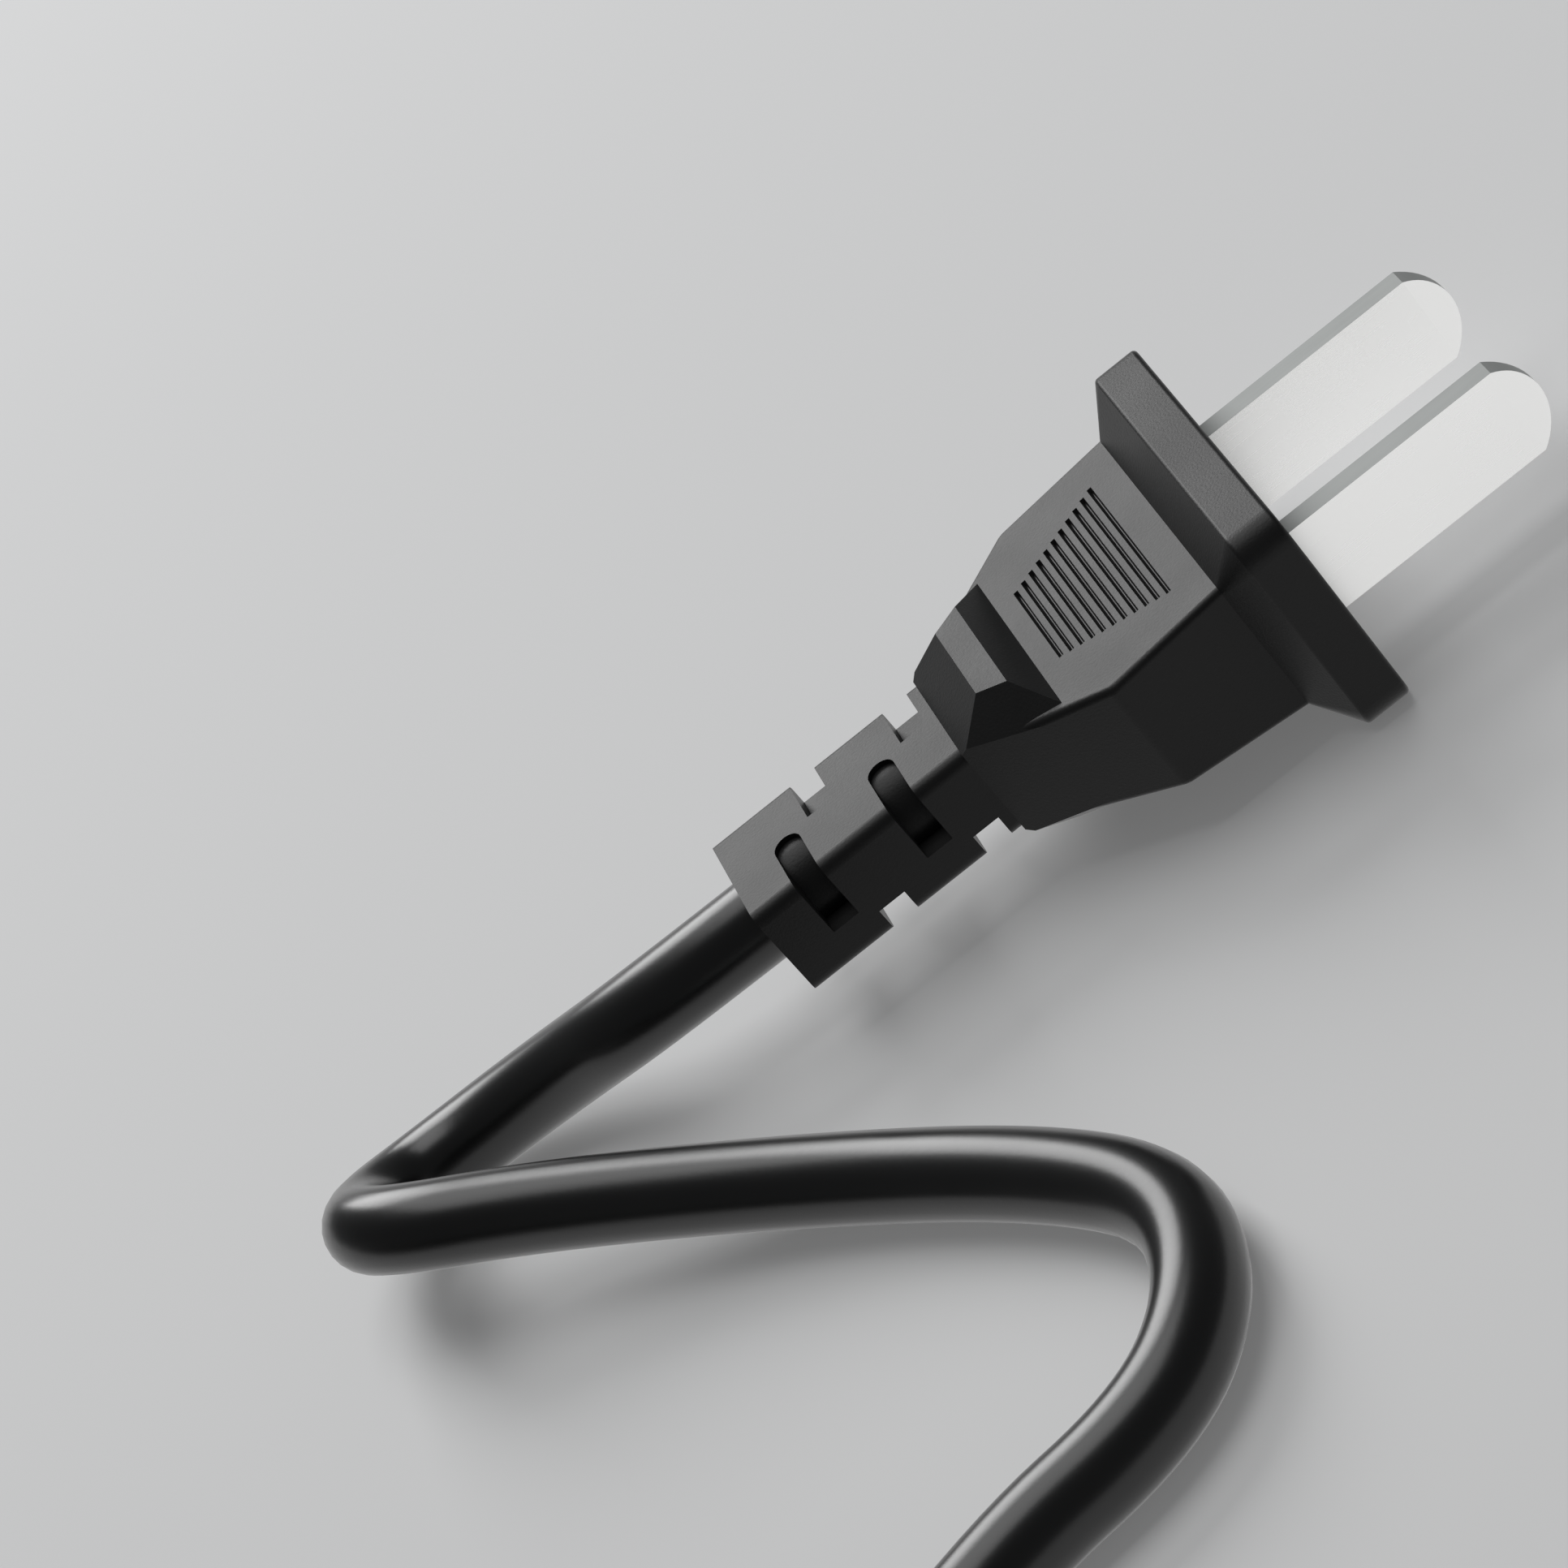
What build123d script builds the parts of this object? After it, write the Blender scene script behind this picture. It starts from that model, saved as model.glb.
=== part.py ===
"""Power cord: a moulded plug with two flat blades, its round cord, a tied coil and an appliance connector.

Millimetres, +Z up. The plug lies flat with its blades towards +X, and the origin is on the floor
under the middle of the plug.
"""
import os
from math import atan2, cos, pi, radians, sin, sqrt, tan

from build123d import *

# Blades
blade_width = 6.3
blade_thickness = 1.5
blade_pitch = 12.7
blade_reach = 15.9
tip_length = 1.8
tip_thinning = 0.42
stop_width = 7.5
stop_length = 1.2

# Plug face and grip
flange_width = 24.3
flange_height = 15.2
flange_thickness = 2.9
flange_corner = 1.8
flange_rim = 0.3
bevel_length = 1.95
grip_width = 19.8
grip_front_height = 9.9
grip_length = 10.55
knee_setback = 7.9
knee_round = 1.2
grip_edge = 0.45
neck_length = 6.28

# Ridged panel on both wide faces
groove_count = 11
groove_pitch = 0.69
groove_width = 0.32
groove_depth = 0.3
groove_taper = 24.0
groove_first = 2.2
groove_longest = 13.4
groove_shortest = 8.06

# Raised boss on both wide faces of the neck
boss_height = 5.45
boss_front_width = 9.3
boss_rear_width = 7.4
boss_length = 1.8
boss_setback = 1.7
boss_root_height = 2.4
boss_side_slope = 38.5

# Strain relief
relief_width = 9.0
relief_height = 6.6
relief_length = 14.9
relief_edge = 0.8
cut_count = 2
cut_width = 1.8
cut_pitch = 6.74
slot_first = 3.85
slot_past_middle = 0.2
slot_below_middle = 0.7
notch_first = 6.55
notch_inner = 0.35
notch_height = 1.8
relief_core_wall = 0.35

# Pieces inside the plug
bridge_width = 18.4
bridge_height = 8.0
bridge_length = 5.6
bridge_corner = 1.0
barrel_diameter = 2.6
barrel_length = 4.6
strand_diameter = 1.2
strand_bare = 0.8
wire_diameter = 2.1
wire_web = 0.3
wire_bend = 2.4
wire_lead = 1.8
seat_gap = 0.05

# Cord
cord_diameter = 5.2
bend_share = 0.45
sheath_in_plug = 6.1
first_turn_setback = 7.36

# Coil put away beyond the cord's visible stretch, and its tie
coil_x = -114.0
coil_y = -43.5
coil_radius = 31.0
turn_gap = 0.15
tie_thickness = 0.8
tie_arc = 14.0
tie_bearing = 90.0
lead_inset = 0.4
lead_clear = 1.5

# Appliance connector
pin_diameter = 2.36
pin_clearance = 0.03
contact_pitch = 8.6
contact_wall = 0.5
contact_length = 8.6
contact_setback = 0.9
carrier_wall = 0.85
carrier_length = 11.0
nose_diameter = 7.0
nose_length = 11.2
nose_waist = 5.4
pin_entry_gap = 0.25
end_grip_width = 17.0
end_grip_height = 9.6
end_grip_length = 14.8
end_grip_rear_width = 10.6
end_knee_setback = 8.4
end_knee_round = 4.0
end_grip_edge = 1.6
end_relief_width = 8.6
end_relief_height = 7.4
end_relief_length = 10.0
end_relief_corner = 2.4
end_slot_count = 3
end_slot_width = 1.1
end_slot_pitch = 2.3
end_slot_first = 2.0
end_slot_depth = 0.8
sheath_in_connector = 5.0
end_reach = 20.5
end_gap = 0.3

# How near a corner or edge counts as lying at a place, and how far a wide face may slope, in degrees
touch = 0.01
wide_face_slope = 25.0

# Places that follow from the sizes above
axis_z = flange_height / 2
upright = cos(radians(wide_face_slope))
plug_length = flange_thickness + bevel_length + grip_length + neck_length + relief_length
face_x = (plug_length - blade_reach) / 2
flange_back_x = face_x - flange_thickness
bevel_x = flange_back_x - bevel_length
knee_x = bevel_x - knee_setback
panel_x = bevel_x - grip_length
neck_x = panel_x - neck_length
rear_x = neck_x - relief_length
bridge_back_x = face_x - bridge_length
stop_back_x = bridge_back_x - stop_length
barrel_back_x = stop_back_x - barrel_length
sheath_x = rear_x + sheath_in_plug
cord_r = cord_diameter / 2
core_r = cord_r + relief_core_wall
wire_r = wire_diameter / 2
wire_offset = wire_r + seat_gap + wire_web / 2
barrel_r = barrel_diameter / 2
strand_r = strand_diameter / 2

turn_pitch = cord_diameter + turn_gap
layer_step = turn_pitch * sin(radians(60))
low_z = cord_r + tie_thickness
mid_z = low_z + layer_step
top_z = mid_z + layer_step
lead_radius = coil_radius + turn_pitch / 2 - lead_inset
lead_z = low_z + lead_inset
tail_radius = coil_radius + turn_pitch
tail_y = coil_y - tail_radius
lead_y = coil_y - lead_radius
coil_rim = coil_radius + turn_pitch / 2 + cord_r
lead_stub = sqrt(coil_rim**2 - (lead_radius - cord_r) ** 2) + lead_clear
tail_stub = sqrt(coil_rim**2 - (tail_radius - cord_r) ** 2) + lead_clear

contact_bore_r = pin_diameter / 2 + pin_clearance
contact_r = contact_bore_r + contact_wall
end_axis_z = end_grip_height / 2
end_x = coil_x - coil_rim - cord_r - end_gap
end_rear_y = coil_y + end_reach
sheath_y = end_rear_y + sheath_in_connector
grip_y = end_rear_y + end_relief_length
nose_y = grip_y + end_grip_length
front_y = nose_y + nose_length
contact_front_y = front_y - contact_setback
contact_back_y = contact_front_y - contact_length
carrier_back_y = front_y - carrier_length
end_barrel_back_y = carrier_back_y - barrel_length

# The cord's route along its middle, from inside the strain relief to the coil
cord_route = [
    (sheath_x, 0.0, axis_z),
    (rear_x - first_turn_setback, 0.0, axis_z),
    (-43.0, 6.8, 3.6),
    (-52.0, 8.5, 2.6),
    (-56.5, 4.5, 5.4),
    (-54.8, -1.4, 8.0),
    (-45.5, -6.2, 5.6),
    (-31.0, -17.0, 2.8),
    (-20.4, -28.4, 2.6),
    (-15.5, -36.7, 2.6),
    (-16.8, -44.2, 2.6),
    (-22.2, -49.4, 2.6),
    (-33.5, -50.6, 2.6),
    (-53.0, -59.5, 2.7),
    (-76.0, lead_y, lead_z),
    (coil_x + lead_stub, lead_y, lead_z),
]

# The tail's route, from the coil round its side and down to the connector's strain relief
tail_route = [
    (coil_x - tail_stub, tail_y, mid_z),
    (-136.0, tail_y, mid_z),
    (-144.5, -75.6, 7.5),
    (-150.6, -67.5, 6.9),
    (end_x, -56.0, 6.0),
    (end_x, -37.0, end_axis_z),
    (end_x, sheath_y, end_axis_z),
]


def across_plug(x):
    """Plane across the plug at x, with local x along +Y and local y along +Z."""
    return Plane(origin=(x, 0, axis_z), x_dir=(0, 1, 0), z_dir=(1, 0, 0))


def across_end(y):
    """Plane across the connector at y, with local x along -X and local y along +Z."""
    return Plane(origin=(end_x, y, end_axis_z), x_dir=(-1, 0, 0), z_dir=(0, 1, 0))


def bend_radii(route):
    """Largest arc for each corner of a route: a share of the shorter run over the tangent of half the turn."""
    points = [Vector(*point) for point in route]
    radii = []
    for before, corner, after in zip(points, points[1:], points[2:]):
        arriving = corner - before
        leaving = after - corner
        half_turn = radians(arriving.get_angle(leaving)) / 2
        radii.append(bend_share * min(arriving.length, leaving.length) / tan(half_turn))
    return radii


def plug_wire_way(side, start_x):
    """Middle of one insulated wire in the plug, from behind its crimp barrel to the end of the sheath."""
    return [
        (start_x, side * blade_pitch / 2, axis_z),
        (barrel_back_x - wire_lead, side * blade_pitch / 2, axis_z),
        (neck_x, side * wire_offset, axis_z),
        (sheath_x, side * wire_offset, axis_z),
    ]


def end_wire_way(side, start_y):
    """Middle of one insulated wire in the connector, from behind its crimp barrel to the end of the sheath."""
    return [
        (end_x - side * contact_pitch / 2, start_y, end_axis_z),
        (end_x - side * contact_pitch / 2, end_barrel_back_y - wire_lead, end_axis_z),
        (end_x - side * wire_offset, grip_y, end_axis_z),
        (end_x - side * wire_offset, sheath_y, end_axis_z),
    ]


def save(piece, label):
    """Names a finished piece and writes it out."""
    piece.part.label = label
    export_step(piece.part, f"parts/{label}.step")


os.makedirs("parts", exist_ok=True)

# Outline of the grip and neck seen from above
with BuildSketch(Plane.XY.offset(axis_z)) as plan:
    with BuildLine():
        Polyline(
            (bevel_x, grip_width / 2),
            (knee_x, grip_width / 2),
            (neck_x, relief_width / 2),
            (neck_x, -relief_width / 2),
            (knee_x, -grip_width / 2),
            (bevel_x, -grip_width / 2),
            close=True,
        )
    make_face()
    knees = plan.vertices().filter_by(lambda v: abs(v.X - knee_x) < touch)
    fillet(knees, radius=knee_round)

# Both wide faces slope evenly from the bevel to the strain relief
panel_angle = atan2((grip_front_height - relief_height) / 2, grip_length + neck_length)
panel_end_height = grip_front_height / 2 - grip_length * tan(panel_angle)

# Boss on the upper wide face of the neck: a flat top with four slopes, kept within the plan outline
boss_front_x = panel_x - boss_setback
boss_rear_x = boss_front_x - boss_length
boss_rise = boss_height - boss_root_height
front_run = boss_rise * boss_setback / (boss_height - panel_end_height)
rear_run = boss_rise * (boss_rear_x - neck_x) / (boss_height - relief_height / 2)
side_run = boss_rise / tan(radians(boss_side_slope))
boss_taper = (boss_front_width - boss_rear_width) / boss_length
root_front_width = boss_front_width + boss_taper * front_run + 2 * side_run
root_rear_width = boss_rear_width - boss_taper * rear_run + 2 * side_run
with BuildPart() as boss:
    with BuildSketch(Plane.XY.offset(axis_z + boss_root_height)):
        with BuildLine():
            Polyline(
                (boss_front_x + front_run, root_front_width / 2),
                (boss_rear_x - rear_run, root_rear_width / 2),
                (boss_rear_x - rear_run, -root_rear_width / 2),
                (boss_front_x + front_run, -root_front_width / 2),
                close=True,
            )
        make_face()
    with BuildSketch(Plane.XY.offset(axis_z + boss_height)):
        with BuildLine():
            Polyline(
                (boss_front_x, boss_front_width / 2),
                (boss_rear_x, boss_rear_width / 2),
                (boss_rear_x, -boss_rear_width / 2),
                (boss_front_x, -boss_front_width / 2),
                close=True,
            )
        make_face()
    loft()
    extrude(plan.sketch, amount=flange_height, both=True, mode=Mode.INTERSECT)

# Outline of the flange
with BuildSketch(across_plug(flange_back_x)) as flange:
    RectangleRounded(flange_width, flange_height, flange_corner)

# Plug overmould
groove_step = (groove_longest - groove_shortest) / (groove_count - 1)
with BuildPart() as plug_body:
    extrude(plan.sketch, amount=flange_height, both=True)
    with BuildSketch(Plane.XZ):
        with BuildLine():
            Polyline(
                (bevel_x, axis_z + grip_front_height / 2),
                (neck_x, axis_z + relief_height / 2),
                (neck_x, axis_z - relief_height / 2),
                (bevel_x, axis_z - grip_front_height / 2),
                close=True,
            )
        make_face()
    extrude(amount=grip_width, both=True, mode=Mode.INTERSECT)
    flat_faces = plug_body.faces().filter_by(lambda f: abs(f.normal_at().Z) > upright)
    long_edges = flat_faces.edges().filter_by(lambda e: e.center().X > neck_x + touch)
    long_edges = long_edges.filter_by(lambda e: e.center().X < bevel_x - touch)
    long_edges = long_edges.filter_by(lambda e: abs(e.center().Y) > touch)
    fillet(long_edges, radius=grip_edge)

    # Ridges: narrow grooves across both wide faces, shorter towards the cord
    for up in (1, -1):
        panel = Plane(
            origin=(bevel_x, 0, axis_z + up * grip_front_height / 2),
            x_dir=(0, 1, 0),
            z_dir=(-sin(panel_angle), 0, up * cos(panel_angle)),
        )
        with BuildSketch(panel):
            for i in range(groove_count):
                with Locations((0, up * (groove_first + i * groove_pitch))):
                    Rectangle(groove_longest - i * groove_step, groove_width)
        extrude(amount=-groove_depth, taper=groove_taper, mode=Mode.SUBTRACT)

    add(boss.part)
    mirror(boss.part, about=Plane.XY.offset(axis_z))

    # Bevel between the grip and the flange, then the flange itself
    grip_front = plug_body.faces().sort_by(Axis.X)[-1]
    loft(sections=[grip_front, flange.sketch.face()])
    extrude(flange.sketch, amount=flange_thickness)
    front_rim = plug_body.faces().sort_by(Axis.X)[-1].edges()
    back_rim = plug_body.edges().filter_by(lambda e: abs(e.center().X - flange_back_x) < touch)
    fillet(front_rim + back_rim, radius=flange_rim)

    # Strain relief block with corner cuts that alternate between its diagonals
    with BuildSketch(across_plug(rear_x)):
        RectangleRounded(relief_width, relief_height, relief_edge)
    extrude(amount=relief_length)
    for up in (1, -1):
        slot_end = slot_past_middle + relief_width
        with BuildSketch(Plane.XY.offset(axis_z - up * slot_below_middle)):
            for i in range(cut_count):
                with Locations((rear_x + slot_first + i * cut_pitch, up * (slot_past_middle - slot_end / 2))):
                    SlotOverall(slot_end, cut_width, rotation=90)
        extrude(amount=up * relief_height, mode=Mode.SUBTRACT)
        with BuildSketch(Plane.XY.offset(axis_z + up * (relief_height / 2 - notch_height))):
            for i in range(cut_count):
                with Locations((rear_x + notch_first + i * cut_pitch, up * (notch_inner + relief_width / 2))):
                    Rectangle(cut_width, relief_width)
        extrude(amount=up * relief_height, mode=Mode.SUBTRACT)
    with BuildSketch(across_plug(rear_x)):
        Circle(core_r)
    extrude(amount=relief_length)

    # Seats of the insert, the blade ends, the wires and the cord
    with BuildSketch(across_plug(bridge_back_x)):
        RectangleRounded(bridge_width + 2 * seat_gap, bridge_height + 2 * seat_gap, bridge_corner)
    extrude(amount=bridge_length, mode=Mode.SUBTRACT)
    with BuildSketch(across_plug(stop_back_x)):
        with GridLocations(blade_pitch, 0, 2, 1):
            Rectangle(blade_thickness + 2 * seat_gap, stop_width + 2 * seat_gap)
    extrude(amount=stop_length, mode=Mode.SUBTRACT)
    with BuildSketch(across_plug(barrel_back_x)):
        with GridLocations(blade_pitch, 0, 2, 1):
            Circle(barrel_r + seat_gap)
    extrude(amount=barrel_length, mode=Mode.SUBTRACT)
    with BuildSketch(across_plug(rear_x)):
        Circle(cord_r)
    extrude(amount=sheath_in_plug, mode=Mode.SUBTRACT)
    for side in (1, -1):
        with BuildLine() as wire_way:
            FilletPolyline(*plug_wire_way(side, barrel_back_x), radius=wire_bend)
        with BuildSketch(across_plug(barrel_back_x)):
            with Locations((side * blade_pitch / 2, 0)):
                Circle(wire_r + seat_gap)
        sweep(path=wire_way.line, mode=Mode.SUBTRACT)
save(plug_body, "plug_body")

# Rigid insert between the blades, flush with the plug's face
with BuildPart() as pin_bridge:
    with BuildSketch(across_plug(bridge_back_x)):
        RectangleRounded(bridge_width, bridge_height, bridge_corner)
        with GridLocations(blade_pitch, 0, 2, 1):
            Rectangle(blade_thickness + 2 * seat_gap, blade_width + 2 * seat_gap, mode=Mode.SUBTRACT)
    extrude(amount=bridge_length)
save(pin_bridge, "pin_bridge")

# Blades: rounded and thinned tips outside, a stop and a crimp barrel inside
tip_x = face_x + blade_reach
for pole, side in (("line", 1), ("neutral", -1)):
    blade_y = side * blade_pitch / 2
    with BuildPart() as blade:
        with BuildSketch(Plane.XZ.offset(-blade_y)):
            with BuildLine():
                Polyline(
                    (tip_x - tip_length, axis_z + blade_width / 2),
                    (bridge_back_x, axis_z + blade_width / 2),
                    (bridge_back_x, axis_z + stop_width / 2),
                    (stop_back_x, axis_z + stop_width / 2),
                    (stop_back_x, axis_z - stop_width / 2),
                    (bridge_back_x, axis_z - stop_width / 2),
                    (bridge_back_x, axis_z - blade_width / 2),
                    (tip_x - tip_length, axis_z - blade_width / 2),
                )
                ThreePointArc(
                    (tip_x - tip_length, axis_z - blade_width / 2),
                    (tip_x, axis_z),
                    (tip_x - tip_length, axis_z + blade_width / 2),
                )
            make_face()
        extrude(amount=blade_thickness / 2, both=True)
        with BuildSketch(Plane.XY.offset(axis_z)):
            for face in (1, -1):
                with BuildLine():
                    Polyline(
                        (tip_x - tip_length, blade_y + face * blade_thickness / 2),
                        (tip_x, blade_y + face * blade_thickness / 2),
                        (tip_x, blade_y + face * (blade_thickness / 2 - tip_thinning)),
                        close=True,
                    )
                make_face()
        extrude(amount=blade_width, both=True, mode=Mode.SUBTRACT)
        with BuildSketch(across_plug(barrel_back_x)):
            with Locations((blade_y, 0)):
                Circle(barrel_r)
        extrude(amount=barrel_length)
        with BuildSketch(across_plug(barrel_back_x)):
            with Locations((blade_y, 0)):
                Circle(strand_r + seat_gap)
        extrude(amount=barrel_length, mode=Mode.SUBTRACT)
    save(blade, f"{pole}_blade")

    with BuildPart() as strands:
        with BuildSketch(across_plug(barrel_back_x - strand_bare)):
            with Locations((blade_y, 0)):
                Circle(strand_r)
        extrude(amount=barrel_length + strand_bare)
    save(strands, f"plug_{pole}_strands")

    with BuildPart() as wire:
        with BuildLine() as wire_way:
            FilletPolyline(*plug_wire_way(side, barrel_back_x - strand_bare), radius=wire_bend)
        with BuildSketch(across_plug(barrel_back_x - strand_bare)):
            with Locations((blade_y, 0)):
                Circle(wire_r)
        sweep(path=wire_way.line)
    save(wire, f"plug_{pole}_wire")

# Sheathed cord on both sides of the coil
for label, route in (("cord", cord_route), ("cord_tail", tail_route)):
    radii = bend_radii(route)
    with BuildPart() as tube:
        with BuildLine() as way:
            FilletPolyline(*route, radius=radii)
        with BuildSketch(Plane(origin=way.line @ 0, z_dir=way.line % 0)):
            Circle(cord_r)
        sweep(path=way.line)
    print(label, "radii", [round(radius, 1) for radius in radii])
    length = way.wire().length
    ratio = tube.part.volume / (pi * cord_r**2 * length)
    print(label, "length", round(length, 1), "volume over section times length", round(ratio, 4))
    save(tube, label)

# Coil: the outer shape of the tied turns, with the straight ends that lead in and out
across_coil = Plane(origin=(coil_x, coil_y, 0), x_dir=(1, 0, 0), z_dir=(0, -1, 0))
turn_places = [
    (coil_radius - turn_pitch / 2, low_z),
    (coil_radius + turn_pitch / 2, low_z),
    (coil_radius + turn_pitch / 2, top_z),
    (coil_radius - turn_pitch / 2, top_z),
    (coil_radius - turn_pitch, mid_z),
]
with BuildPart() as cord_coil:
    with BuildSketch(across_coil):
        Polygon(*turn_places, align=None)
        offset(amount=cord_r)
    revolve(axis=Axis((coil_x, coil_y, 0), (0, 0, 1)))
    for stub_y, stub_z, run in ((lead_y, lead_z, lead_stub), (tail_y, mid_z, -tail_stub)):
        with BuildSketch(Plane(origin=(coil_x, stub_y, stub_z), x_dir=(0, 1, 0), z_dir=(1, 0, 0))):
            Circle(cord_r)
        extrude(amount=run)
save(cord_coil, "cord_coil")

# Tie: a closed strap around the bundle of turns
tie_start = radians(tie_bearing - tie_arc / 2)
tie_plane = Plane(
    origin=(coil_x, coil_y, 0),
    x_dir=(cos(tie_start), sin(tie_start), 0),
    z_dir=(sin(tie_start), -cos(tie_start), 0),
)
with BuildPart() as coil_tie:
    for margin, mode in ((tie_thickness, Mode.ADD), (0, Mode.SUBTRACT)):
        with BuildSketch(tie_plane):
            Polygon(*turn_places, align=None)
            offset(amount=cord_r + margin)
        revolve(axis=Axis((coil_x, coil_y, 0), (0, 0, 1)), revolution_arc=tie_arc, mode=mode)
save(coil_tie, "coil_tie")

# Appliance connector: a two-lobed nose, a tapering grip and a notched strain relief
with BuildPart() as connector_body:
    with BuildSketch(Plane.XY.offset(end_axis_z)) as end_plan:
        with BuildLine():
            Polyline(
                (end_x - end_grip_width / 2, nose_y),
                (end_x - end_grip_width / 2, nose_y - end_knee_setback),
                (end_x - end_grip_rear_width / 2, grip_y),
                (end_x + end_grip_rear_width / 2, grip_y),
                (end_x + end_grip_width / 2, nose_y - end_knee_setback),
                (end_x + end_grip_width / 2, nose_y),
                close=True,
            )
        make_face()
        end_knees = end_plan.vertices().filter_by(lambda v: abs(v.Y - nose_y + end_knee_setback) < touch)
        fillet(end_knees, radius=end_knee_round)
    extrude(amount=end_grip_height / 2, both=True)
    fillet(connector_body.faces().filter_by(Axis.Z).edges(), radius=end_grip_edge)
    with BuildSketch(across_end(nose_y)):
        with GridLocations(contact_pitch, 0, 2, 1):
            Circle(nose_diameter / 2)
        Rectangle(contact_pitch, nose_waist)
    extrude(amount=nose_length)
    with BuildSketch(across_end(end_rear_y)):
        RectangleRounded(end_relief_width, end_relief_height, end_relief_corner)
    extrude(amount=end_relief_length)
    notch_room = end_relief_width
    for i in range(end_slot_count):
        with BuildSketch(across_end(end_rear_y + end_slot_first + i * end_slot_pitch)):
            if i % 2:
                with GridLocations(0, end_relief_height - end_slot_depth + notch_room, 1, 2):
                    Rectangle(2 * notch_room, notch_room + end_slot_depth)
            else:
                with GridLocations(end_relief_width - end_slot_depth + notch_room, 0, 2, 1):
                    Rectangle(notch_room + end_slot_depth, 2 * notch_room)
        extrude(amount=end_slot_width, mode=Mode.SUBTRACT)

    # Seats of the carrier, the crimp barrels, the wires and the cord
    with BuildSketch(across_end(carrier_back_y)):
        with GridLocations(contact_pitch, 0, 2, 1):
            Circle(nose_diameter / 2 - carrier_wall)
        Rectangle(contact_pitch, nose_waist - 2 * carrier_wall)
    extrude(amount=carrier_length, mode=Mode.SUBTRACT)
    with BuildSketch(across_end(end_barrel_back_y)):
        with GridLocations(contact_pitch, 0, 2, 1):
            Circle(barrel_r + seat_gap)
    extrude(amount=barrel_length, mode=Mode.SUBTRACT)
    with BuildSketch(across_end(end_rear_y)):
        Circle(cord_r)
    extrude(amount=sheath_in_connector, mode=Mode.SUBTRACT)
    for side in (1, -1):
        with BuildLine() as wire_way:
            FilletPolyline(*end_wire_way(side, end_barrel_back_y), radius=wire_bend)
        with BuildSketch(across_end(end_barrel_back_y)):
            with Locations((side * contact_pitch / 2, 0)):
                Circle(wire_r + seat_gap)
        sweep(path=wire_way.line, mode=Mode.SUBTRACT)
save(connector_body, "connector_body")

# Rigid carrier with a round entry hole and a seat for each contact
with BuildPart() as contact_carrier:
    with BuildSketch(across_end(carrier_back_y)):
        with GridLocations(contact_pitch, 0, 2, 1):
            Circle(nose_diameter / 2 - carrier_wall - seat_gap)
        Rectangle(contact_pitch, nose_waist - 2 * (carrier_wall + seat_gap))
    extrude(amount=carrier_length)
    with BuildSketch(across_end(contact_front_y)):
        with GridLocations(contact_pitch, 0, 2, 1):
            Circle(contact_bore_r + pin_entry_gap)
    extrude(amount=contact_setback, mode=Mode.SUBTRACT)
    with BuildSketch(across_end(contact_back_y)):
        with GridLocations(contact_pitch, 0, 2, 1):
            Circle(contact_r + seat_gap)
    extrude(amount=contact_length, mode=Mode.SUBTRACT)
    with BuildSketch(across_end(carrier_back_y)):
        with GridLocations(contact_pitch, 0, 2, 1):
            Circle(barrel_r + seat_gap)
    extrude(amount=contact_back_y - carrier_back_y, mode=Mode.SUBTRACT)
save(contact_carrier, "contact_carrier")

# Contacts: round sleeves with a closed back and a crimp barrel, and the wires behind them
for pole, side in (("line", 1), ("neutral", -1)):
    pole_place = (side * contact_pitch / 2, 0)
    with BuildPart() as contact:
        with BuildSketch(across_end(contact_back_y)):
            with Locations(pole_place):
                Circle(contact_r)
        extrude(amount=contact_length)
        with BuildSketch(across_end(end_barrel_back_y)):
            with Locations(pole_place):
                Circle(barrel_r)
        extrude(amount=contact_back_y - end_barrel_back_y)
        with BuildSketch(across_end(contact_front_y)):
            with Locations(pole_place):
                Circle(contact_bore_r)
        extrude(amount=contact_wall - contact_length, mode=Mode.SUBTRACT)
        with BuildSketch(across_end(end_barrel_back_y)):
            with Locations(pole_place):
                Circle(strand_r + seat_gap)
        extrude(amount=barrel_length, mode=Mode.SUBTRACT)
    save(contact, f"{pole}_contact")

    with BuildPart() as strands:
        with BuildSketch(across_end(end_barrel_back_y - strand_bare)):
            with Locations(pole_place):
                Circle(strand_r)
        extrude(amount=barrel_length + strand_bare)
    save(strands, f"connector_{pole}_strands")

    with BuildPart() as wire:
        with BuildLine() as wire_way:
            FilletPolyline(*end_wire_way(side, end_barrel_back_y - strand_bare), radius=wire_bend)
        with BuildSketch(across_end(end_barrel_back_y - strand_bare)):
            with Locations(pole_place):
                Circle(wire_r)
        sweep(path=wire_way.line)
    save(wire, f"connector_{pole}_wire")
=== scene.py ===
"""Power cord: finishes, the cord on its real course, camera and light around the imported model.

Metres, in the model's own frame: the plug lies flat, blades towards +X, on a floor at zero height.
"""
import math

import bpy
from mathutils import Matrix, Vector


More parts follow.
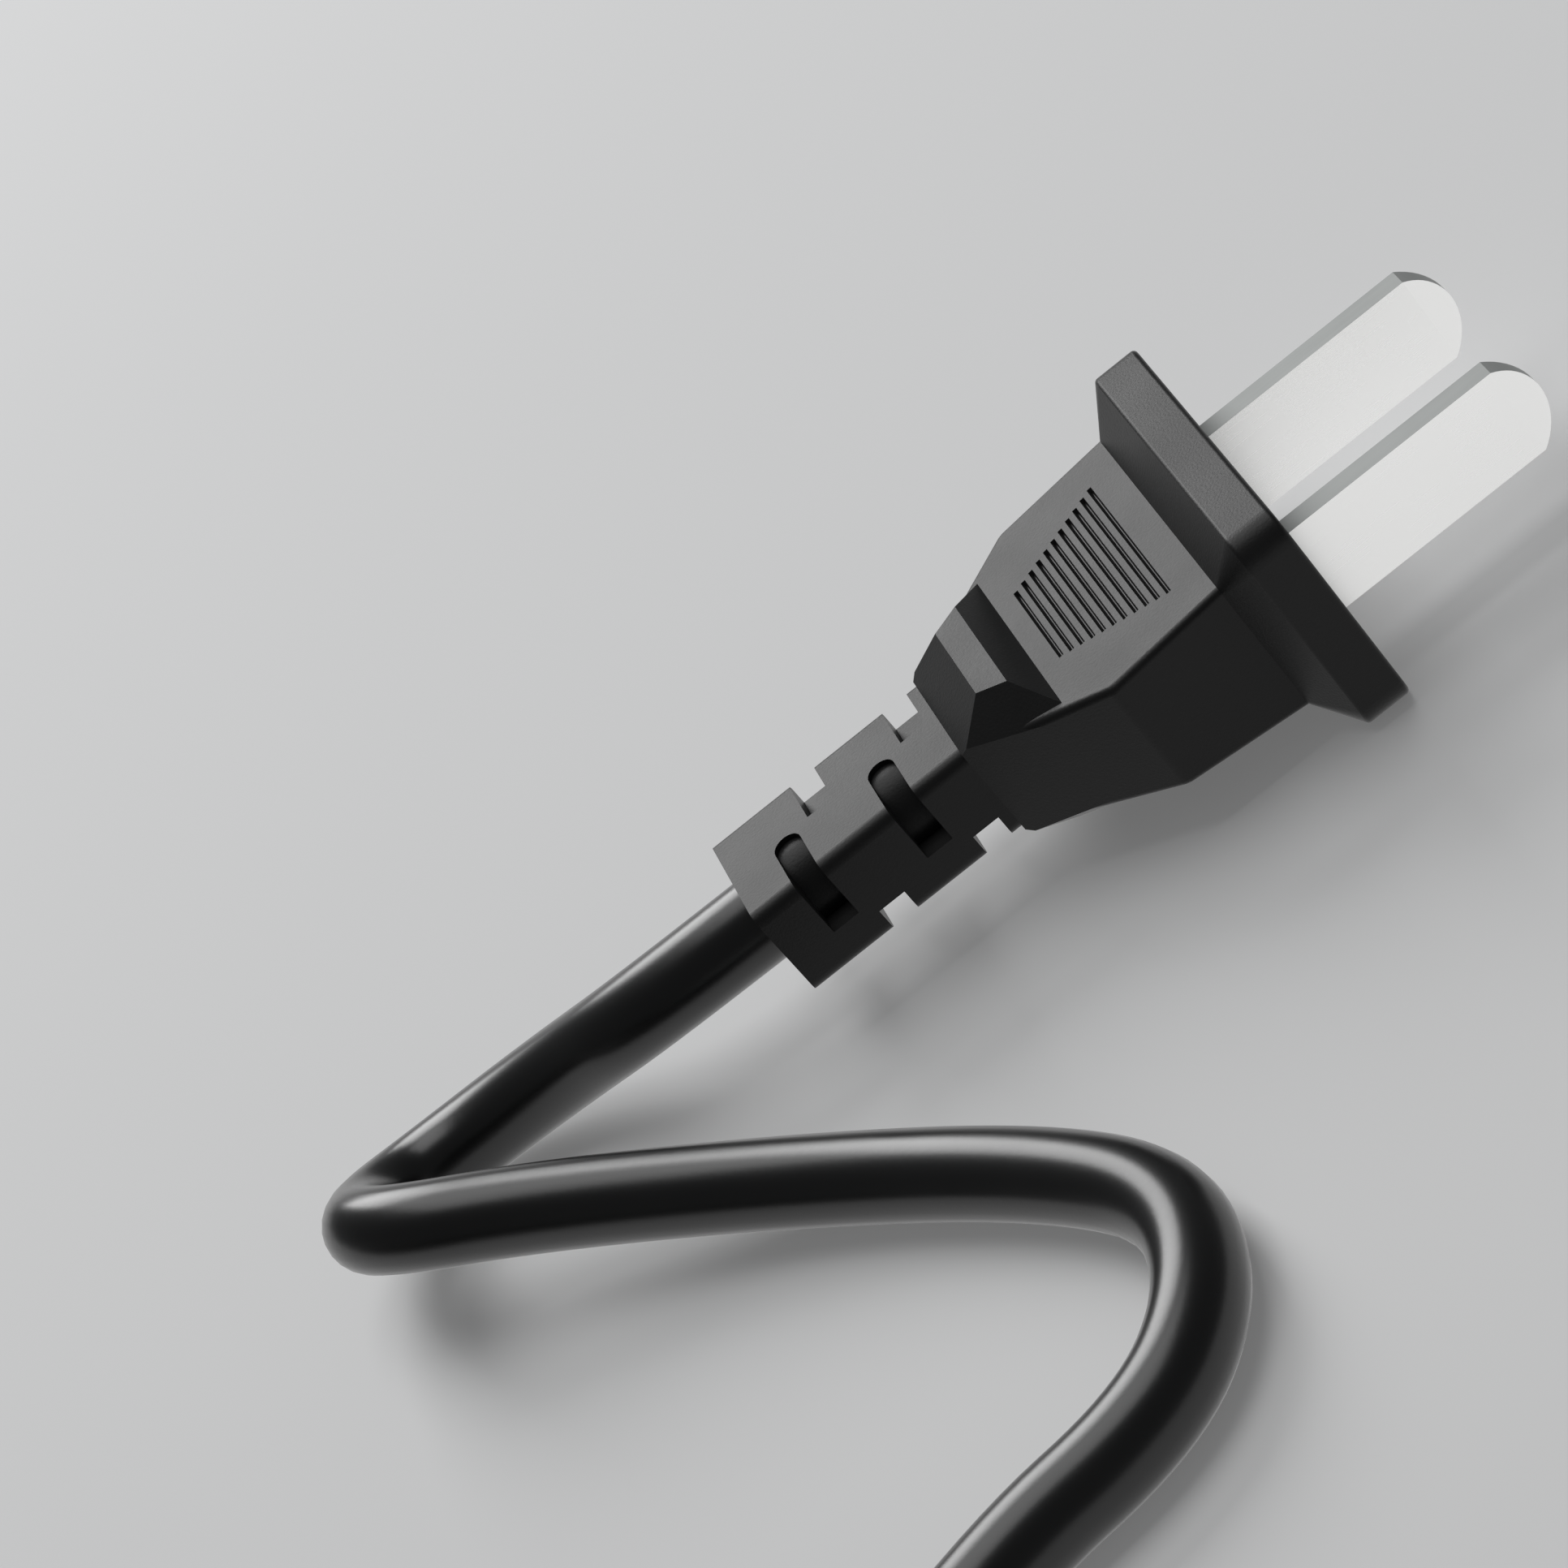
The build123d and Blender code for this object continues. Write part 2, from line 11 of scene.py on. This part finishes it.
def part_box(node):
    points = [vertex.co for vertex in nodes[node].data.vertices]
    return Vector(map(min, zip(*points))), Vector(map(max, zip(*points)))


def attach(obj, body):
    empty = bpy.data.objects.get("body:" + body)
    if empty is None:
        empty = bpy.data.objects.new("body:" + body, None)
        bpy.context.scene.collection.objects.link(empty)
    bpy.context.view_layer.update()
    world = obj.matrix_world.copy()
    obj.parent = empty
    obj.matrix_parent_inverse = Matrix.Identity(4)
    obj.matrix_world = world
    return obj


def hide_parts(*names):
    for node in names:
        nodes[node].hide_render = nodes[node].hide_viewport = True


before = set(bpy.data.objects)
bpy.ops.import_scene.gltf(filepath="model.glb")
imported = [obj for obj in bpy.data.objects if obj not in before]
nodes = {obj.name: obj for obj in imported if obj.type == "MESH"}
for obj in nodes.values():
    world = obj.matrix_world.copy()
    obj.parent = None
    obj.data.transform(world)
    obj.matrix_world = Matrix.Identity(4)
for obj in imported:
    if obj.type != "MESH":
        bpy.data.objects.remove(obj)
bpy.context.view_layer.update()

# Cord: its own size, how finely its line is drawn, and the places that it runs between
CORD_DIAMETER = 0.0052
STEPS_ROUND = 10
STEPS_ALONG = 10
PLUG_AXIS_Z = (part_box("plug_body")[0].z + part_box("plug_body")[1].z) / 2
PLUG_REAR_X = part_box("plug_body")[0].x
CONNECTOR_X = (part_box("connector_body")[0].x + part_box("connector_body")[1].x) / 2
CONNECTOR_Z = (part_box("connector_body")[0].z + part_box("connector_body")[1].z) / 2
SHEATH_IN_PLUG = 0.0061
SHEATH_X = PLUG_REAR_X + SHEATH_IN_PLUG
SHEATH_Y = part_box("cord_tail")[1].y

# Coil: turns beside and on each other, round a middle that lies under the tie
COIL_X = -0.114
COIL_Y = -0.0435
COIL_RADIUS = 0.031
TURN_PITCH = 0.00535
TIE_THICKNESS = 0.0008
NESTING_ANGLE = 60.0
LAYER_STEP = TURN_PITCH * math.sin(math.radians(NESTING_ANGLE))
LOW_Z = CORD_DIAMETER / 2 + TIE_THICKNESS
MID_Z = LOW_Z + LAYER_STEP
TOP_Z = MID_Z + LAYER_STEP
LEAD_INSET = 0.0004
LEAD_Y = COIL_Y - COIL_RADIUS - TURN_PITCH / 2 + LEAD_INSET
LEAD_Z = LOW_Z + LEAD_INSET
LEAD_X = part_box("cord")[0].x
TAIL_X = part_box("cord_tail")[1].x
TAIL_Y = COIL_Y - COIL_RADIUS - TURN_PITCH
POINTS_PER_TURN = 16
FIRST_ANGLE = 270.0
CROSSING_START = 290.0
CROSSING_END = 355.0

# Radius and height of each turn in winding order, and of the place where the cord leaves the last one
TURNS = [
    (COIL_RADIUS + TURN_PITCH / 2, LOW_Z),
    (COIL_RADIUS - TURN_PITCH / 2, LOW_Z),
    (COIL_RADIUS - TURN_PITCH, MID_Z),
    (COIL_RADIUS - TURN_PITCH / 2, TOP_Z),
    (COIL_RADIUS, MID_Z),
    (COIL_RADIUS + TURN_PITCH / 2, TOP_Z),
    (COIL_RADIUS + TURN_PITCH, MID_Z),
]

# From inside the strain relief, through the fold and the long bend, to the coil
CORD_ROUTE = [
    (SHEATH_X, 0.0, PLUG_AXIS_Z),
    (-0.0336, 0.0, PLUG_AXIS_Z),
    (-0.0430, 0.0068, 0.0036),
    (-0.0520, 0.0085, 0.0026),
    (-0.0565, 0.0045, 0.0054),
    (-0.0548, -0.0014, 0.0080),
    (-0.0455, -0.0062, 0.0056),
    (-0.0310, -0.0170, 0.0028),
    (-0.0204, -0.0284, 0.0026),
    (-0.0155, -0.0367, 0.0026),
    (-0.0168, -0.0442, 0.0026),
    (-0.0222, -0.0494, 0.0026),
    (-0.0335, -0.0506, 0.0026),
    (-0.0530, -0.0595, 0.0027),
    (-0.0760, LEAD_Y, LEAD_Z),
    (LEAD_X, LEAD_Y, LEAD_Z),
]

# From the coil round its side and down to the connector's strain relief
TAIL_ROUTE = [
    (TAIL_X, TAIL_Y, MID_Z),
    (-0.1360, TAIL_Y, MID_Z),
    (-0.1445, -0.0756, 0.0075),
    (-0.1506, -0.0675, 0.0069),
    (CONNECTOR_X, -0.0560, 0.0060),
    (CONNECTOR_X, -0.0370, CONNECTOR_Z),
    (CONNECTOR_X, SHEATH_Y, CONNECTOR_Z),
]


def coil_points():
    """Control points of the turns, each easing into the next turn's place over the crossing."""
    step = 360 / POINTS_PER_TURN
    spread = 1 / math.cos(math.radians(step / 2))
    points = []
    for i in range((len(TURNS) - 1) * POINTS_PER_TURN):
        wound = (i + 0.5) * step
        turn, place = divmod(wound, 360)
        here = TURNS[int(turn)]
        after = TURNS[int(turn) + 1]
        share = (place - CROSSING_START) / (CROSSING_END - CROSSING_START)
        share = min(max(share, 0.0), 1.0)
        eased = share * share * (3 - 2 * share)
        radius = (here[0] + (after[0] - here[0]) * eased) * spread
        height = here[1] + (after[1] - here[1]) * eased
        angle = math.radians(FIRST_ANGLE - wound)
        x = COIL_X + radius * math.cos(angle)
        y = COIL_Y + radius * math.sin(angle)
        points.append((x, y, height))
    return points


def lay_cord():
    """The whole cord as one smooth round line, from the plug to the connector."""
    points = CORD_ROUTE + coil_points() + TAIL_ROUTE
    line = bpy.data.curves.new("supply_cord", "CURVE")
    line.dimensions = "3D"
    line.bevel_depth = CORD_DIAMETER / 2
    line.bevel_resolution = STEPS_ROUND
    line.use_fill_caps = True
    spline = line.splines.new("NURBS")
    spline.points.add(len(points) - 1)
    for control, point in zip(spline.points, points):
        control.co = (*point, 1.0)
    spline.order_u = 3
    spline.use_endpoint_u = True
    spline.resolution_u = STEPS_ALONG
    cord = bpy.data.objects.new("supply_cord", line)
    bpy.context.scene.collection.objects.link(cord)
    return cord


class Signal:
    """One output of a material's nodes. Arithmetic on it adds the nodes that work it out."""

    def __init__(self, tree, socket):
        self.tree = tree
        self.socket = socket

    def math(self, operation, *values):
        """A Math node on one or two values, any of which may be a plain number."""
        node = self.tree.nodes.new("ShaderNodeMath")
        node.operation = operation
        for place, value in zip(node.inputs, values):
            connect(self.tree, place, value)
        return Signal(self.tree, node.outputs[0])

    def __add__(self, other):
        return self.math("ADD", self, other)

    def __radd__(self, other):
        return self.math("ADD", other, self)

    def __sub__(self, other):
        return self.math("SUBTRACT", self, other)

    def __rsub__(self, other):
        return self.math("SUBTRACT", other, self)

    def __mul__(self, other):
        return self.math("MULTIPLY", self, other)

    def __rmul__(self, other):
        return self.math("MULTIPLY", other, self)

    def __abs__(self):
        return self.math("ABSOLUTE", self)


def connect(tree, place, value):
    """Links a signal to a socket, or sets a plain value on it."""
    if isinstance(value, Signal):
        tree.links.new(value.socket, place)
    else:
        place.default_value = value


# Places of the Mix node's sockets for colours
MIX_SHARE = 0
MIX_LOW = 6
MIX_HIGH = 7
MIX_COLOUR = 2


class Finish:
    """A material with one principled shader."""

    def __init__(self, name, **constants):
        self.material = bpy.data.materials.new(name)
        self.material.use_nodes = True
        self.tree = self.material.node_tree
        self.shader = self.tree.nodes["Principled BSDF"]
        self.set(**constants)

    def set(self, **sockets):
        """Sets or links the shader's sockets, named with underscores for spaces."""
        for name, value in sockets.items():
            connect(self.tree, self.shader.inputs[name.replace("_", " ")], value)

    def node(self, kind, sockets, settings=None, output=0):
        """Adds a node, settings before sockets by name or place, and returns one of its outputs."""
        node = self.tree.nodes.new(kind)
        for name, value in (settings or {}).items():
            setattr(node, name, value)
        for place, value in sockets.items():
            connect(self.tree, node.inputs[place], value)
        return Signal(self.tree, node.outputs[output])

    def noise(self, size, detail=2.0, stretch=(1.0, 1.0, 1.0)):
        """Smooth noise from 0 to 1 with features about size metres large, stretched along the axes."""
        spot = self.node("ShaderNodeTexCoord", {}, output="Object")
        place = self.node("ShaderNodeMapping", {"Vector": spot, "Scale": stretch})
        return self.node("ShaderNodeTexNoise", {"Vector": place, "Scale": 1 / size, "Detail": detail})

    def tint(self, share, low, high):
        """Colour between two colours by a share from 0 to 1."""
        colours = {MIX_SHARE: share, MIX_LOW: (*low, 1.0), MIX_HIGH: (*high, 1.0)}
        return self.node("ShaderNodeMix", colours, {"data_type": "RGBA"}, output=MIX_COLOUR)

    def bump(self, height, depth, strength=1.0):
        """Surface normal from a height signal, where 1 stands depth metres proud."""
        return self.node("ShaderNodeBump", {"Height": height, "Distance": depth, "Strength": strength})


def moulding():
    """Satin black moulded PVC: faint flow clouds and a fine spark-eroded grain."""
    finish = Finish("satin_moulded_pvc", Specular_IOR_Level=0.2)
    clouds = finish.noise(0.006, detail=3.0)
    grain = finish.noise(0.00016, detail=2.0)
    finish.set(
        Base_Color=finish.tint(clouds, (0.0075, 0.0075, 0.0075), (0.0155, 0.0155, 0.0155)),
        Roughness=0.36 + 0.10 * clouds + 0.05 * grain,
        Normal=finish.bump(grain, 0.00002, 0.6),
    )
    return finish.material


def insert_plastic():
    """Rigid dark plastic of the blade insert and the contact carrier."""
    finish = Finish("rigid_insert_plastic")
    clouds = finish.noise(0.003)
    grain = finish.noise(0.00025, detail=3.0)
    finish.set(
        Base_Color=finish.tint(clouds, (0.016, 0.016, 0.017), (0.028, 0.028, 0.029)),
        Roughness=0.42 + 0.14 * grain,
        Normal=finish.bump(grain, 0.000015, 0.6),
    )
    return finish.material


def blade_nickel():
    """Bright nickel plate with fine rolling lines; on the blade's narrow edges a rougher, duller
    finish and a darker colour that is painted shade.
    """
    finish = Finish("bright_nickel_plate", Metallic=1.0)
    facing = finish.node("ShaderNodeTexCoord", {}, output="Normal")
    across = finish.node("ShaderNodeSeparateXYZ", {"Vector": facing}, output="Y")
    # Narrow edges, found as faces not facing along Y: rougher there (duller finish) and darker there
    # (painted shade)
    dull_and_shaded_edges = 1 - abs(across)
    lines = finish.noise(0.00012, detail=3.0, stretch=(0.02, 1.0, 1.0))
    marks = finish.noise(0.004, detail=2.0)
    finish.set(
        # The narrow edges' darker colour is painted shade
        Base_Color=finish.tint(dull_and_shaded_edges, (0.93, 0.93, 0.92), (0.36, 0.37, 0.365)),
        Roughness=0.24 + 0.04 * lines + 0.04 * marks + 0.48 * dull_and_shaded_edges,
        Normal=finish.bump(lines, 0.000001, 0.1),
    )
    return finish.material


def cord_sheath():
    """Smooth extruded PVC sheath with a soft gloss and slight unevenness."""
    finish = Finish("extruded_cord_sheath", Specular_IOR_Level=0.5)
    clouds = finish.noise(0.009, detail=2.0)
    grain = finish.noise(0.0003, detail=2.0)
    finish.set(
        Base_Color=finish.tint(clouds, (0.0025, 0.0025, 0.0026), (0.0055, 0.0055, 0.0057)),
        Roughness=0.25 + 0.06 * clouds + 0.03 * grain,
        Normal=finish.bump(grain, 0.00001, 0.3),
    )
    return finish.material


def tie_strap():
    """Black plastic strap with fine ribs across it."""
    finish = Finish("ribbed_tie_strap")
    spot = finish.node("ShaderNodeTexCoord", {}, output="Object")
    ribs = finish.node(
        "ShaderNodeTexWave",
        {"Vector": spot, "Scale": 320.0, "Distortion": 0.4},
        {"bands_direction": "X"},
        output="Fac",
    )
    clouds = finish.noise(0.002)
    finish.set(
        Base_Color=finish.tint(clouds, (0.012, 0.012, 0.013), (0.024, 0.024, 0.025)),
        Roughness=0.45 + 0.15 * ribs,
        Normal=finish.bump(ribs, 0.00006, 0.8),
    )
    return finish.material


def bare_metal(name, low, high):
    """Drawn metal inside the plug and the connector: fine lines and slight tarnish."""
    finish = Finish(name, Metallic=1.0)
    lines = finish.noise(0.0002, detail=3.0)
    tarnish = finish.noise(0.0012, detail=3.0)
    finish.set(
        Base_Color=finish.tint(tarnish, low, high),
        Roughness=0.28 + 0.16 * tarnish,
        Normal=finish.bump(lines, 0.00001, 0.4),
    )
    return finish.material


def wire_insulation(name, low, high):
    """Thin PVC insulation of one inner wire."""
    finish = Finish(name)
    clouds = finish.noise(0.0015)
    finish.set(Base_Color=finish.tint(clouds, low, high), Roughness=0.36 + 0.12 * clouds)
    return finish.material


def floor_paint():
    """Plain pale studio floor, seen a little evenly lit, and more so where shiny pieces mirror it."""
    finish = Finish("pale_floor", Specular_IOR_Level=0.2)
    clouds = finish.noise(0.4)
    finish.set(
        Base_Color=finish.tint(clouds, (0.575, 0.58, 0.585), (0.61, 0.61, 0.61)),
        Roughness=0.85 + 0.05 * clouds,
    )
    seen = finish.node("ShaderNodeLightPath", {}, output="Is Camera Ray")
    mirrored = finish.node("ShaderNodeLightPath", {}, output="Is Glossy Ray")
    even_share = 0.15 * seen + 0.8 * mirrored
    even = finish.node("ShaderNodeEmission", {"Color": (0.9, 0.9, 0.9, 1.0), "Strength": 1.0})
    painted = Signal(finish.tree, finish.shader.outputs[0])
    floor = finish.node("ShaderNodeMixShader", {0: even_share, 1: painted, 2: even})
    connect(finish.tree, finish.tree.nodes["Material Output"].inputs["Surface"], floor)
    finish.material.cycles.emission_sampling = "NONE"
    return finish.material


def dress(material, *names):
    """Gives model pieces their finish."""
    for name in names:
        for place in nodes[name].material_slots:
            place.material = material


def spread_floor():
    """A wide level floor, a hair under the cord."""
    half = 3.0
    drop = 0.00002
    sheet = bpy.data.meshes.new("floor")
    corners = [(-half, -half, 0), (half, -half, 0), (half, half, 0), (-half, half, 0)]
    sheet.from_pydata(corners, [], [(0, 1, 2, 3)])
    floor = bpy.data.objects.new("floor", sheet)
    floor.location.z = -drop
    sheet.materials.append(floor_paint())
    bpy.context.scene.collection.objects.link(floor)


LAMPS_AIM = (-0.01, 0.0, 0.005)


def soft_lamp(name, towards, distance, width, height, power):
    """A rectangular soft lamp in a direction from the plug, facing it."""
    lamp = bpy.data.lights.new(name, "AREA")
    lamp.shape = "RECTANGLE"
    lamp.size = width
    lamp.size_y = height
    lamp.energy = power
    holder = bpy.data.objects.new(name, lamp)
    away = Vector(towards).normalized()
    holder.location = Vector(LAMPS_AIM) + away * distance
    holder.rotation_euler = away.to_track_quat("Z", "Y").to_euler()
    bpy.context.scene.collection.objects.link(holder)


def direction(azimuth, elevation):
    """Unit vector by azimuth from +Y towards +X and elevation above the floor, in degrees."""
    a = math.radians(azimuth)
    e = math.radians(elevation)
    return (math.sin(a) * math.cos(e), math.cos(a) * math.cos(e), math.sin(e))


def light_studio():
    """Key behind the plug for the sheen on its upper faces, a soft top light and an even surround."""
    soft_lamp("key_soft_box", direction(-10, 33), distance=1.0, width=0.46, height=0.60, power=6.9)
    soft_lamp("top_soft_box", direction(0, 76), distance=1.2, width=0.8, height=0.8, power=5.8)
    world = bpy.data.worlds.new("even_surround")
    world.use_nodes = True
    surround = world.node_tree.nodes["Background"]
    surround.inputs["Color"].default_value = (0.93, 0.95, 0.97, 1.0)
    surround.inputs["Strength"].default_value = 0.13
    bpy.context.scene.world = world


def set_camera():
    """Camera at the photograph's viewing angle."""
    right = Vector((0.77987, -0.28133, -0.55916))
    up = Vector((0.62006, 0.46937, 0.62866))
    back = Vector((0.08559, -0.83698, 0.54049))
    eye = Vector((0.00526, -0.24989, 0.17522))
    lens = bpy.data.cameras.new("camera")
    lens.sensor_width = 36.0
    lens.lens = 122.0
    lens.clip_start = 0.01
    lens.clip_end = 20.0
    camera = bpy.data.objects.new("camera", lens)
    turn = Matrix((right, up, back)).transposed().to_4x4()
    camera.matrix_world = Matrix.Translation(eye) @ turn
    bpy.context.scene.collection.objects.link(camera)
    bpy.context.scene.camera = camera


cord = lay_cord()
cord.data.materials.append(cord_sheath())
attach(cord, "root")
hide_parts("cord", "cord_coil", "cord_tail")

dress(moulding(), "plug_body", "connector_body")
dress(insert_plastic(), "pin_bridge", "contact_carrier")
dress(blade_nickel(), "line_blade", "neutral_blade")
dress(tie_strap(), "coil_tie")
brass = bare_metal("contact_brass", (0.62, 0.44, 0.20), (0.78, 0.60, 0.32))
dress(brass, "line_contact", "neutral_contact")
copper = bare_metal("bare_copper", (0.60, 0.28, 0.16), (0.76, 0.40, 0.26))
black_insulation = wire_insulation("line_insulation", (0.012, 0.012, 0.012), (0.022, 0.022, 0.022))
white_insulation = wire_insulation("neutral_insulation", (0.70, 0.70, 0.68), (0.80, 0.80, 0.78))
for end in ("plug", "connector"):
    dress(copper, f"{end}_line_strands", f"{end}_neutral_strands")
    dress(black_insulation, f"{end}_line_wire")
    dress(white_insulation, f"{end}_neutral_wire")

spread_floor()
light_studio()
set_camera()
bpy.context.scene.view_settings.view_transform = "Standard"
